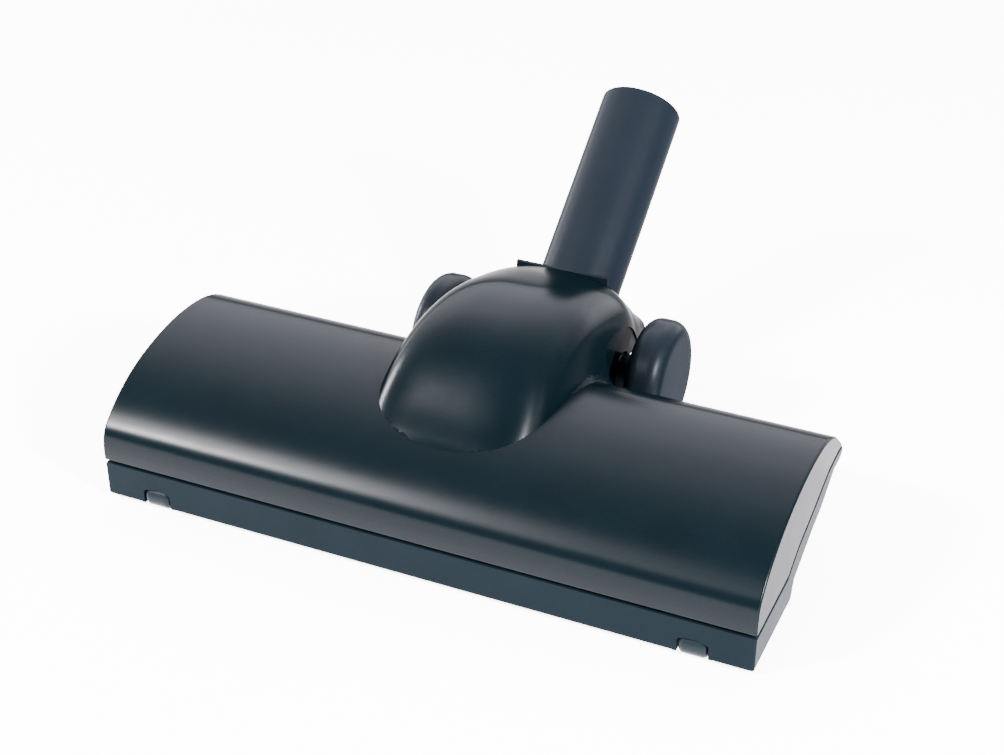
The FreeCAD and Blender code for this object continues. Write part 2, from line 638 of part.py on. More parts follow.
# low ribs either side of the brush that carry its end blocks
solid_low = fuse([tray_open, centre, posts_in, pedestal_trim] + cheeks + tongue + pockets_out, "low_solid")
cuts = [box(-d("win_x"), d("win_x"), d("win_front"), d("win_back"), 0, SZ + 0.2, "brush_window"),
        cyl_x(d("axle_rad"), -60, 60, PIV_Y, PIV_Z, "axle_seat")] + pockets_in
for x, y, zb, zs, zt in SCREWS:
    cuts.append(cyl_z(d("screw_shank") + 0.15, x, y, zb - 8, zs + 1, "screw_way"))
    cuts.append(cyl_z(d("screw_head") + 0.2, x, y, 0, zb + 2.0, "screw_sink"))
node(cut(solid_low, cuts, "low_final"), "lower_housing")

# ---------------------------------------------------------------- turbine case
CR, CI, CHW, CIW = d("case_rad"), d("case_in"), d("case_half"), d("case_in_half")


def case_body(name):
    outer = [cyl_x(CR, -CHW, CHW, TY, TZ, name), cyl_x(9.0, CHW - 0.5, CHW + 5.4, TY, TZ, name + "_boss"),
             box(-CHW, CHW, TY - 34, TY + 34, TZ - 2, TZ + 2, name + "_flange")]
    inner = [cyl_x(CI, -CIW, CIW, TY, TZ, name + "_room"),
             cyl_x(d("seat_rad"), CHW - 0.4, CHW + 6, TY, TZ, name + "_seat_room"),
             cyl_x(3.4, -CHW - 1, CHW + 1, TY, TZ, name + "_shaft_way")]
    for sx in (-14.0, 14.0):
        for sy in (-31.2, 31.2):
            inner.append(cyl_z(1.25, sx, TY + sy, 40, 50, name + "_screw_way"))
    return outer, inner


out, inn = case_body("case_low")
out += [box(-17.5, 17.5, 106.0, 128.0, 16.0, 38.0, "duct"), box(-17.5, 17.5, 72.0, 76.0, SZ, 30, "foot"),
        box(-17.5, 17.5, 95.0, 99.0, SZ, 30, "foot")]
inn += [box(-15.7, 15.7, 100.0, 130.0, 17.8, 36.2, "duct_way"), box(-15.0, 15.0, 55.0, 68.5, 24.0, 34.0, "nozzle"),
        box(-60, 60, 0, 200, TZ, 120, "above_split"), cyl_x(20.8, -40, 40, PIV_Y, PIV_Z, "drum_clear")]
node(cut(fuse(out, "case_low_solid"), inn, "case_low_final"), "turbine_case_lower")
out, inn = case_body("case_top")
inn += [box(-60, 60, 0, 200, 0, TZ, "below_split")]
node(cut(fuse(out, "case_top_solid"), inn, "case_top_final"), "turbine_case_upper")


def screws(label, spots, shank, head, head_t, length, down):
    made = []
    for x, y, z in spots:
        if down:      # head on top
            made.append(fuse([cyl_z(head, x, y, z, q(z) + head_t, "head"), cyl_z(shank, x, y, q(z) - length, z, "shank")], "screw"))
        else:
            made.append(fuse([cyl_z(head, x, y, z, q(z) + head_t, "head"), cyl_z(shank, x, y, q(z) + head_t, q(z) + length, "shank")], "screw"))
    c = doc.addObject("Part::Compound", uid(label))
    c.Links = made
    return node(c, label)


screws("case_screws", [(sx, TY + sy, TZ + 2) for sx in (-14.0, 14.0) for sy in (-31.2, 31.2)], 1.2, 2.4, 1.6, 4.5, True)
screws("housing_screws_long", [(x, y, zb) for x, y, zb, zs, zt in SCREWS[:2]], d("screw_shank"), d("screw_head"), 1.9, 19.5, False)
screws("housing_screws_short", [(x, y, zb) for x, y, zb, zs, zt in SCREWS[2:]], d("screw_shank"), d("screw_head"), 1.9, 14.0, False)

# -------------------------------------------------------------- turbine rotor
b = new_body("turbine")
s = new_sketch(b, "YZ_Plane", "disc_outline")
s.addGeometry(Part.Circle(Vector(0, 0, 0), Vector(0, 0, 1), d("turb_rad").v - 6), False)
s.addConstraint(Sketcher.Constraint("Coincident", 0, 3, -1, 1))
i = s.addConstraint(Sketcher.Constraint("Radius", 0, d("turb_rad").v - 6))
s.setExpression("Constraints[%d]" % i, "Dims.turb_rad - 6")
p = b.newObject("PartDesign::Pad", uid("disc"))
p.Profile = s
p.Midplane = True
p.Length = 1.8
s2 = new_sketch(b, "YZ_Plane", "hub_outline")
s2.addGeometry(Part.Circle(Vector(0, 0, 0), Vector(0, 0, 1), d("turb_hub").v), False)
s2.addConstraint(Sketcher.Constraint("Coincident", 0, 3, -1, 1))
i = s2.addConstraint(Sketcher.Constraint("Radius", 0, d("turb_hub").v))
s2.setExpression("Constraints[%d]" % i, "Dims.turb_hub")
p2 = b.newObject("PartDesign::Pad", uid("hub"))
p2.Profile = s2
p2.Midplane = True
bind(p2, "Length", d("turb_w"))
# one curved blade: two arcs joined by short ends
s3 = new_sketch(b, "YZ_Plane", "blade_outline")
BT = d("blade_t").v
R1, R2 = d("turb_hub").v - 1.0, d("turb_rad").v


def blade_pts(off):
    pts = []
    for k in range(7):
        f = k / 6.0
        r = R1 + (R2 - R1) * f
        a = math.radians(34.0 * f * f)
        pts.append(Vector(r * math.cos(a) - off * math.sin(a), r * math.sin(a) + off * math.cos(a), 0))
    return pts


c1, c2 = Part.BSplineCurve(), Part.BSplineCurve()
pa, pb = blade_pts(-BT / 2), blade_pts(BT / 2)
c1.interpolate(pa)
c2.interpolate(pb)
s3.addGeometry(c1, False)
s3.addGeometry(Part.LineSegment(pa[-1], pb[-1]), False)
s3.addGeometry(c2, False)
s3.addGeometry(Part.LineSegment(pb[0], pa[0]), False)
p3 = b.newObject("PartDesign::Pad", uid("blade"))
p3.Profile = s3
p3.Midplane = True
bind(p3, "Length", d("turb_w"))
doc.recompute()
pp = b.newObject("PartDesign::PolarPattern", uid("blades"))
pp.Originals = [p3]
pp.Axis = (s3, ["N_Axis"])
pp.Angle = 360
pp.Occurrences = int(d("blade_n").v)
b.Tip = pp
s4 = new_sketch(b, "YZ_Plane", "shaft_hole")
s4.addGeometry(Part.Circle(Vector(0, 0, 0), Vector(0, 0, 1), d("turb_shaft_rad").v), False)
s4.addConstraint(Sketcher.Constraint("Coincident", 0, 3, -1, 1))
i = s4.addConstraint(Sketcher.Constraint("Radius", 0, d("turb_shaft_rad").v))
s4.setExpression("Constraints[%d]" % i, "Dims.turb_shaft_rad")
p4 = b.newObject("PartDesign::Pocket", uid("shaft_way"))
p4.Profile = s4
p4.Midplane = True
p4.Length = 80
b.Tip = p4
place(b, 0, TY, TZ)
node(b, "turbine_wheel")

BI, BW = d("belt_in"), d("belt_w")
b, r = turned("turbine_shaft", rod_outline(BI - BW - 1.5, 24.8, d("turb_shaft_rad")), 0, TY, TZ)
node(b, "turbine_shaft")
BRW, BRR, BRB, STR = d("bear_w"), d("bear_rad"), d("bear_bore"), d("seat_rad")
for side, x0 in (("right", CHW + 0.6), ("left", q(-124.0))):
    b, r = turned("turbine_bearing", tube_outline(0, BRW, BRB, BRR), x0, TY, TZ)
    node(b, "turbine_bearing_" + side)
    b, r = turned("turbine_seat", tube_outline(-0.4, BRW + 0.4, BRR, STR), x0, TY, TZ)
    node(b, "turbine_seat_" + side)

# ------------------------------------------------------- pulleys and the belt
PITCH = d("pitch").v
ZB, ZP = int(d("pulley_teeth").v), int(d("pinion_teeth").v)
RB, RP = ZB * PITCH / (2 * math.pi), ZP * PITCH / (2 * math.pi)
BY, BZZ = d("brush_y"), d("brush_z")
dy, dz = TY.v - BY.v, TZ.v - BZZ.v
CC = math.hypot(dy, dz)
LINE = math.atan2(dz, dy)                  # direction from the brush to the turbine
PHI = math.asin((RB - RP) / CC)
A_TOP = LINE + math.pi / 2 - PHI           # where the belt's upper run leaves the pulley
A_LOW = LINE - math.pi / 2 + PHI
SPAN = math.sqrt(CC ** 2 - (RB - RP) ** 2)


def belt_point(sl, off):
    """Point and outward direction at length sl along the pitch line, from the
    pulley's upper tangent point, round the pulley first."""
    big = RB * (2 * math.pi - (A_TOP - A_LOW))
    small = RP * (A_TOP - A_LOW)
    total = big + small + 2 * SPAN
    sl = sl % total
    if sl < big:
        a = A_TOP + sl / RB
        cy, cz, rr = BY.v, BZZ.v, RB
    elif sl < big + SPAN:
        f = sl - big
        u = Vector(0, math.cos(A_LOW + math.pi / 2), math.sin(A_LOW + math.pi / 2))
        n = Vector(0, math.cos(A_LOW), math.sin(A_LOW))
        pnt = Vector(0, BY.v, BZZ.v) + n * (RB + off) + u * f
        return pnt, n
    elif sl < big + SPAN + small:
        a = A_LOW + (sl - big - SPAN) / RP
        cy, cz, rr = TY.v, TZ.v, RP
    else:
        f = sl - big - SPAN - small
        u = Vector(0, math.cos(A_TOP + math.pi / 2), math.sin(A_TOP + math.pi / 2))
        n = Vector(0, math.cos(A_TOP), math.sin(A_TOP))
        pnt = Vector(0, TY.v, TZ.v) + n * (RP + off) + u * f
        return pnt, n
    n = Vector(0, math.cos(a), math.sin(a))
    return Vector(0, cy, cz) + n * (rr + off), n


BIG = RB * (2 * math.pi - (A_TOP - A_LOW))
SMALL = RP * (A_TOP - A_LOW)
TOTAL = BIG + SMALL + 2 * SPAN
COUNT = int(round(TOTAL / PITCH))
STEP = TOTAL / COUNT
print("belt: pitch length %.2f mm, %d teeth, step %.4f" % (TOTAL, COUNT, STEP))


def band(off):
    """Face round both pulleys at a distance off outside the pitch line."""
    rb, rp = RB + off, RP + off
    def on(cy, cz, r, a):
        return Vector(0, cy + r * math.cos(a), cz + r * math.sin(a))
    mid_b = A_TOP + (2 * math.pi - (A_TOP - A_LOW)) / 2
    mid_p = (A_TOP + A_LOW) / 2
    bt, bl = on(BY.v, BZZ.v, rb, A_TOP), on(BY.v, BZZ.v, rb, A_LOW)
    pt, pl = on(TY.v, TZ.v, rp, A_TOP), on(TY.v, TZ.v, rp, A_LOW)
    e1 = Part.Arc(bt, on(BY.v, BZZ.v, rb, mid_b), bl).toShape()
    e2 = Part.makeLine(bl, pl)
    e3 = Part.Arc(pl, on(TY.v, TZ.v, rp, mid_p), pt).toShape()
    e4 = Part.makeLine(pt, bt)
    return Part.Wire([e1, e2, e3, e4])


strap = Part.Face(band(0.9)).extrude(Vector(BW.v, 0, 0)).cut(Part.Face(band(-0.3)).extrude(Vector(BW.v, 0, 0)))
teeth = []
for k in range(COUNT):
    pnt, n = belt_point((k + 0.5) * STEP, 0.0)
    u = Vector(0, -n.z, n.y)
    corners = [pnt + n * 0.1 + u * 0.75, pnt - n * 1.25 + u * 0.5, pnt - n * 1.25 - u * 0.5, pnt + n * 0.1 - u * 0.75]
    teeth.append(Part.Face(Part.makePolygon(corners + [corners[0]])).extrude(Vector(BW.v, 0, 0)))
belt_shape = strap.fuse(teeth).removeSplitter()
belt = doc.addObject("Part::Feature", "belt_1")
belt.Shape = belt_shape
belt.Placement = Placement(Vector(BI.v - BW.v, -Y0, 0), Rotation())
node(belt, "drive_belt")


def toothed(label, pitch_r, n, first, y, z, bore, extra):
    """A toothed pulley: a disc with grooves all round and a flange on each side."""
    body = new_body(label)
    sk = new_sketch(body, "YZ_Plane", label + "_disc")
    sk.addGeometry(Part.Circle(Vector(0, 0, 0), Vector(0, 0, 1), pitch_r - 0.36), False)
    sk.addConstraint(Sketcher.Constraint("Coincident", 0, 3, -1, 1))
    sk.addConstraint(Sketcher.Constraint("Radius", 0, pitch_r - 0.36))
    pad = body.newObject("PartDesign::Pad", uid(label + "_pad"))
    pad.Profile = sk
    bind(pad, "Length", BW + 0.6)
    sg = new_sketch(body, "YZ_Plane", label + "_groove")
    a = first
    nv, uv = Vector(math.cos(a), math.sin(a), 0), Vector(-math.sin(a), math.cos(a), 0)
    c = [nv * (pitch_r + 1.0) + uv * 1.25, nv * (pitch_r - 1.55) + uv * 0.72,
         nv * (pitch_r - 1.55) - uv * 0.72, nv * (pitch_r + 1.0) - uv * 1.25]
    for j in range(4):
        sg.addGeometry(Part.LineSegment(c[j], c[(j + 1) % 4]), False)
    pk = body.newObject("PartDesign::Pocket", uid(label + "_cut"))
    pk.Profile = sg
    pk.Type = 1
    pk.Midplane = True
    pk.Length = 60
    doc.recompute()
    full = pad.Shape.Volume
    if not pk.Shape.isNull() and pk.Shape.Volume >= full - 0.5:
        pk.Reversed = True
        doc.recompute()
    pat = body.newObject("PartDesign::PolarPattern", uid(label + "_teeth"))
    pat.Originals = [pk]
    pat.Axis = (sg, ["N_Axis"])
    pat.Angle = 360
    pat.Occurrences = n
    body.Tip = pat
    sf = new_sketch(body, "YZ_Plane", label + "_flange")
    sf.addGeometry(Part.Circle(Vector(0, 0, 0), Vector(0, 0, 1), pitch_r + 1.6), False)
    pf = body.newObject("PartDesign::Pad", uid(label + "_flange_pad"))
    pf.Profile = sf
    pf.Length = 1.0
    pf.Reversed = True
    body.Tip = pf
    if extra:
        se = new_sketch(body, "YZ_Plane", label + "_hub")
        se.addGeometry(Part.Circle(Vector(0, 0, 0), Vector(0, 0, 1), extra[0]), False)
        pe = body.newObject("PartDesign::Pad", uid(label + "_hub_pad"))
        pe.Profile = se
        pe.Length = extra[1]
        body.Tip = pe
    sb = new_sketch(body, "YZ_Plane", label + "_bore")
    sb.addGeometry(Part.Circle(Vector(0, 0, 0), Vector(0, 0, 1), bore), False)
    pbore = body.newObject("PartDesign::Pocket", uid(label + "_bore_cut"))
    pbore.Profile = sb
    pbore.Midplane = True
    pbore.Length = 80
    body.Tip = pbore
    place(body, BI - BW - 0.3, y, z)
    return body


first_b = A_TOP + 0.5 * STEP / RB
# first tooth that lies on the pinion's wrap fixes the pinion's grooves
k0 = math.ceil((BIG + SPAN) / STEP - 0.5)
first_p = A_LOW + ((k0 + 0.5) * STEP - BIG - SPAN) / RP
node(toothed("brush_pulley", RB, ZB, first_b, BY, BZZ, d("brush_shaft_rad").v, (6.0, 11.5)), "brush_pulley")
node(toothed("drive_pinion", RP, ZP, first_p, TY, TZ, d("turb_shaft_rad").v, None), "drive_pinion")

# ------------------------------------------------------------------ brush roll
CHALF, CRAD = d("core_half"), d("core_rad")


def strip_solid(start):
    half_turn = math.radians(d("strip_turn").v)
    root, tip, w = d("strip_root").v, d("bristle_rad").v, d("strip_w").v
    wires = []
    for k in range(-8, 9):
        x = CHALF.v * k / 8.0
        a = start + half_turn * (1 - abs(k) / 8.0 if True else 0)
        n, u = Vector(0, math.cos(a), math.sin(a)), Vector(0, -math.sin(a), math.cos(a))
        c = [n * root + u * w / 2, n * tip + u * w / 2, n * tip - u * w / 2, n * root - u * w / 2]
        c = [v + Vector(x, 0, 0) for v in c]
        wires.append(Part.makePolygon(c + [c[0]]))
    first = Part.makeLoft(wires[:9], True, False)
    second = Part.makeLoft(wires[8:], True, False)
    return first.fuse(second).removeSplitter()


strips = []
for tag, start in (("a", math.radians(-100)), ("b", math.radians(80))):
    f = doc.addObject("Part::Feature", uid("strip"))
    f.Shape = strip_solid(start)
    f.Placement = Placement(Vector(0, BY.v - Y0, BZZ.v), Rotation())
    strips.append(f)
    node(f, "bristle_strip_" + tag)
core_blank = cut(cyl_x(CRAD, -CHALF, CHALF, BY, BZZ, "core_blank"),
                 [cyl_x(d("brush_shaft_rad"), -CHALF - 5, CHALF + 5, BY, BZZ, "core_bore")], "core_bored")
node(cut(core_blank, strips, "core_final"), "brush_core")
b, r = turned("brush_shaft", rod_outline(-140.8, 123.5, d("brush_shaft_rad")), 0, BY, BZZ)
node(b, "brush_shaft")
for side, x0, x1 in (("left", -141.2, -135.6), ("right", 117.8, 124.0)):
    blk = cut(box(x0, x1, BY - 11, BY + 11, SZ + 0.05, BZZ + 9, "end_block"),
              [cyl_x(d("brush_bush_rad"), x0 - 1, x1 + 1, BY, BZZ, "bush_way")], "end_block_cut")
    node(blk, "brush_end_block_" + side)
    b, r = turned("brush_bush", tube_outline(x0, x1, d("brush_bush_bore"), d("brush_bush_rad")), 0, BY, BZZ)
    node(b, "brush_bush_" + side)

# belt guard: a wall between the brush room and the belt room
guard = prism([(45.8, SZ.v + 0.1), (49.3, 13.0), (59.0, 16.5), (73.2, 21.8), (84.2, 24.8), (96.0, 31.0),
               (100.5, 33.2), (108.0, 33.2), (105.2, 40.0), (99.0, 45.2), (92.5, 49.0), (85.0, 51.9), (76.0, 53.8), (66.0, 54.4),
               (56.0, 54.0), (45.0, 52.4), (35.0, 50.2), (26.0, 47.0), (18.5, 43.6), (11.5, 39.4), (6.4, 35.2), (3.4, 31.0),
               (3.2, 22.0), (3.2, 12.6), (13.5, 12.6), (13.5, SZ.v + 0.1)], 0.7, "guard")
guard_at = doc.addObject("Part::Feature", uid("guard_wall"))
doc.recompute()
gs = guard.Shape.copy()
guard_at.Shape = gs
guard_at.Placement = Placement(Vector(-116.2, 0, 0), Rotation()).multiply(Placement())
node(cut(guard_at, [cyl_x(7.0, -130, -100, BY, BZZ, "guard_hub_way"), cyl_x(3.6, -130, -100, TY, TZ, "guard_shaft_way")],
         "guard_final"), "belt_guard")

# ------------------------------------------------------------------------ neck
shield = cut(cyl_x(d("shield_out"), -d("shield_half"), d("shield_half"), PIV_Y, PIV_Z, "shield"),
             [cyl_x(d("shield_in"), -40, 40, PIV_Y, PIV_Z, "shield_in")], "shield_ring")
webs = cut(cyl_x(d("shield_out"), -d("shield_half"), d("shield_half"), PIV_Y, PIV_Z, "web"),
           [cyl_x(18.6, -40, 40, PIV_Y, PIV_Z, "web_in"),
            box(-(d("shield_half") - 1.8), d("shield_half") - 1.8, 60, 200, 0, 100, "between_webs")], "webs")


def wedge(a0, a1, half, name):
    """Sector from angle a0 to a1, from upright towards the back, about the pivot."""
    pts = [(PIV_Y.v, PIV_Z.v)]
    for k in range(6):
        a = math.radians(a0 + (a1 - a0) * k / 5.0)
        pts.append((PIV_Y.v + 60 * math.sin(a), PIV_Z.v + 60 * math.cos(a)))
    return prism(pts, half, name)


# rib on the shield that rests behind the lip of the slot
lip = cut(box(-22.2, 22.2, 156.4, 158.1, PIV_Z + 29, 65.3, "lip"),
          [cyl_x(d("shield_in") + 0.5, -40, 40, PIV_Y, PIV_Z, "under_lip")], "lip_rib")
sector = wedge(-22, 22, 30, "sector")
shield_part = common([fuse([shield, webs], "shield_webs"), sector], "shield_part")
yoke_solid = fuse([cyl_x(d("drum_rad"), -d("drum_half"), d("drum_half"), PIV_Y, PIV_Z, "drum"),
                   cyl_neck(d("collar_rad"), d("collar_low"), d("collar_end"), "collar"), shield_part, lip], "yoke_solid")
DIH = d("drum_in_half")
yoke_cuts = [cyl_x(d("drum_in"), -DIH, DIH, PIV_Y, PIV_Z, "drum_room"),
             cyl_neck(d("swivel_rad"), d("tube_low") - 0.3, d("collar_end") + 1, "swivel_bore"),
             cyl_neck(d("throat_rad"), d("collar_low") + 2.5, 20, "throat"),
             cyl_neck(13.0, 0, 12, "throat_start"),
             cyl_neck(20.7, d("ring_at") - d("ring_w") / 2 - 0.3, d("ring_at") + d("ring_w") / 2 + 0.3, "ring_groove"),
             cyl_neck(20.9, d("seal_at") - d("seal_w") / 2, d("seal_at") + d("seal_w") / 2, "seal_groove"),
             box(-15.0, 15.0, PIV_Y - 24, PIV_Y - 9, PIV_Z - 13, PIV_Z + 11, "air_window"),
             cyl_x(d("axle_bore"), -40, 40, PIV_Y, PIV_Z, "pivot_bore")]
node(cut(yoke_solid, yoke_cuts, "yoke_final"), "neck_yoke")
NECK = Rotation(Vector(1, 0, 0), Vector(0, SINL, COSL))
NAX_Y = PIV_Y + d("neck_drop") * Q(COSL, "cos(Dims.neck_lean * 1deg)")
NAX_Z = PIV_Z - d("neck_drop") * Q(SINL, "sin(Dims.neck_lean * 1deg)")
RA, RW = d("ring_at"), d("ring_w")
b, r = turned("neck_tube", [
    (d("tube_low"), d("tube_stop")), (d("tube_stop_at"), d("tube_stop")), (d("tube_stop_at"), d("tube_bore")),
    (d("tube_end"), d("tube_bore")), (d("tube_end"), d("tube_rad")), (RA + RW / 2 + 0.1, d("tube_rad")),
    (RA + RW / 2 + 0.1, d("tube_rad") - 1.1), (RA - RW / 2 - 0.1, d("tube_rad") - 1.1),
    (RA - RW / 2 - 0.1, d("tube_rad")), (d("tube_low"), d("tube_rad"))], 0, NAX_Y, NAX_Z, NECK)
round_edges(b, r, 0.9, ring_edge(d("tube_end").v, d("tube_rad").v), "rim")
round_edges(b, b.Tip, 0.7, ring_edge(d("tube_end").v, d("tube_bore").v), "mouth")
node(b, "neck_tube")
b, r = turned("swivel_ring", tube_outline(RA - RW / 2, RA + RW / 2, d("tube_rad") - 1.05, 20.6), 0, NAX_Y, NAX_Z, NECK)
node(b, "swivel_ring")
SA, SW = d("seal_at"), d("seal_w")
b, r = turned("neck_seal", tube_outline(SA - SW / 2, SA + SW / 2, d("tube_rad") + 0.06, 20.9), 0, NAX_Y, NAX_Z, NECK)
node(b, "neck_seal")

# ---------------------------------------------------------- wheels and rollers
WI, WO, WR = d("wheel_in"), d("wheel_out"), d("wheel_rad")
for side in (1, -1):
    tag = "right" if side > 0 else "left"
    rot = Rotation() if side > 0 else Rotation(Vector(0, 0, 1), 180)
    g0, g1 = d("snap_at") - d("snap_w") / 2, d("snap_at") + d("snap_w") / 2
    b, r = turned("rear_wheel", [
        (d("hub_in"), d("axle_bore")), (g0, d("axle_bore")), (g0, d("snap_rad")), (g1, d("snap_rad")), (g1, d("axle_bore")),
        (d("blind_end"), d("axle_bore")), (d("blind_end"), 0), (WO, 0), (WO, WR), (WI, WR), (WI, d("dish_rad")),
        (WI + d("dish_deep"), d("dish_rad")), (WI + d("dish_deep"), d("hub_rad")), (d("hub_in"), d("hub_rad"))], 0, PIV_Y, PIV_Z, rot)
    round_edges(b, r, d("wheel_round"), ring_edge(WO.v, WR.v), "outer_shoulder")
    round_edges(b, b.Tip, d("wheel_round") - 0.6, ring_edge(WI.v, WR.v), "inner_shoulder")
    node(b, "rear_wheel_" + tag)
    b, r = turned("wheel_axle", [
        (d("axle_in"), 0), (d("blind_end") - 0.4, 0), (d("blind_end") - 0.4, d("axle_rad") - 0.8), (d("blind_end") - 1.2, d("axle_rad")),
        (g1 - 0.3, d("axle_rad")), (g1 - 0.7, d("bead_rad")), (g0 + 0.7, d("bead_rad")), (g0 + 0.3, d("axle_rad")),
        (d("axle_in"), d("axle_rad"))], 0, PIV_Y, PIV_Z, rot)
    node(b, "wheel_axle_" + tag)
    cx = RX if side > 0 else -RX
    hw = d("roller_w") / 2
    b, r = turned("front_roller", tube_outline(-hw, hw, d("roller_bore"), d("roller_rad")), cx, d("roller_y"), d("roller_rad"))
    round_edges(b, r, 2.2, lambda e: e.Curve.TypeId == "Part::GeomCircle" and abs(e.Curve.Radius - d("roller_rad").v) < 0.05, "tread_edge")
    node(b, "front_roller_" + tag)
    b, r = turned("roller_pin", rod_outline(-(NH + 0.95), NH + 0.95, d("roller_pin")), cx, d("roller_y"), d("roller_rad"))
    node(b, "roller_pin_" + tag)

# --------------------------------------------------------------------- output
doc.recompute()
bad = []
for o in doc.Objects:
    if "Invalid" in o.State or "Error" in o.State:
        bad.append("%s (%s) %s" % (o.Name, o.Label, o.State))
names = [o.Label for o in NODES]
if len(set(names)) != len(names):
    bad.append("two sub-parts share a name")
for o in NODES:
    sh = o.Shape
    if sh.isNull() or not sh.isValid():
        bad.append("%s has no valid shape" % o.Label)
    elif sh.Volume < 1.0:
        bad.append("%s has no volume" % o.Label)
if bad:
    raise RuntimeError("; ".join(bad))
os.makedirs("parts", exist_ok=True)
for o in NODES:
    sh = o.Shape
    bb = sh.BoundBox
    print("%-22s solids %d  vol %9.1f  x %7.2f %7.2f  y %7.2f %7.2f  z %7.2f %7.2f" % (
        o.Label, len(sh.Solids), sh.Volume, bb.XMin, bb.XMax, bb.YMin, bb.YMax, bb.ZMin, bb.ZMax))
    sh.exportStep("parts/%s.step" % o.Label)
total = Part.makeCompound([o.Shape for o in NODES]).optimalBoundingBox(False, False)
print("whole object: x %.2f %.2f  y %.2f %.2f  z %.2f %.2f" % (total.XMin, total.XMax, total.YMin, total.YMax, total.ZMin, total.ZMax))
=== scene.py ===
import json
import math

import bmesh
import bpy
import numpy as np
from mathutils import Matrix, Vector


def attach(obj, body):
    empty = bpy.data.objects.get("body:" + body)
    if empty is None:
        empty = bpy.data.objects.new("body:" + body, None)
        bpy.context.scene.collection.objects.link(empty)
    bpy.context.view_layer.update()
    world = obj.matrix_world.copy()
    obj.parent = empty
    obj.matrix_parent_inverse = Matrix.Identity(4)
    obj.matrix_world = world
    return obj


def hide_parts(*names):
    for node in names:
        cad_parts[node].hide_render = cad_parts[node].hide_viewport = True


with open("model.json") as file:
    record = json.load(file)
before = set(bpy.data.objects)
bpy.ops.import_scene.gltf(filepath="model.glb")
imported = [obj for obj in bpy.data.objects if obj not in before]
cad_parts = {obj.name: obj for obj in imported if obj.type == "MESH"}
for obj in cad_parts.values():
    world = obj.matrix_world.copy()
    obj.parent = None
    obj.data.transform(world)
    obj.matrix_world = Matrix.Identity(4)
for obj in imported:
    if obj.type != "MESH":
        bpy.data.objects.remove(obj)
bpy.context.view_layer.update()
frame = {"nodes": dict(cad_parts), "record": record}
nodes = frame["nodes"]

# Lengths below are in metres.  Y0 is the distance from the front wall to the origin.
Y0 = 0.13266


# ------------------------------------------------------------------ materials
def new_mat(name):
    m = bpy.data.materials.new(name)
    m.use_nodes = True
    nt = m.node_tree
    bsdf = nt.nodes["Principled BSDF"]
    return m, nt, bsdf


def link(nt, a, b):
    nt.links.new(a, b)


def noise(nt, vec, scale, detail=2.0, rough=0.5):
    n = nt.nodes.new("ShaderNodeTexNoise")
    n.inputs["Scale"].default_value = scale
    n.inputs["Detail"].default_value = detail
    n.inputs["Roughness"].default_value = rough
    link(nt, vec, n.inputs["Vector"])
    return n.outputs["Fac"]


def ramp(nt, fac, stops):
    r = nt.nodes.new("ShaderNodeValToRGB")
    els = r.color_ramp.elements
    while len(els) < len(stops):
        els.new(0.5)
    for e, (p, c) in zip(els, stops):
        e.position = p
        e.color = (c[0], c[1], c[2], 1) if isinstance(c, (tuple, list)) else (c, c, c, 1)
    link(nt, fac, r.inputs["Fac"])
    return r.outputs["Color"]


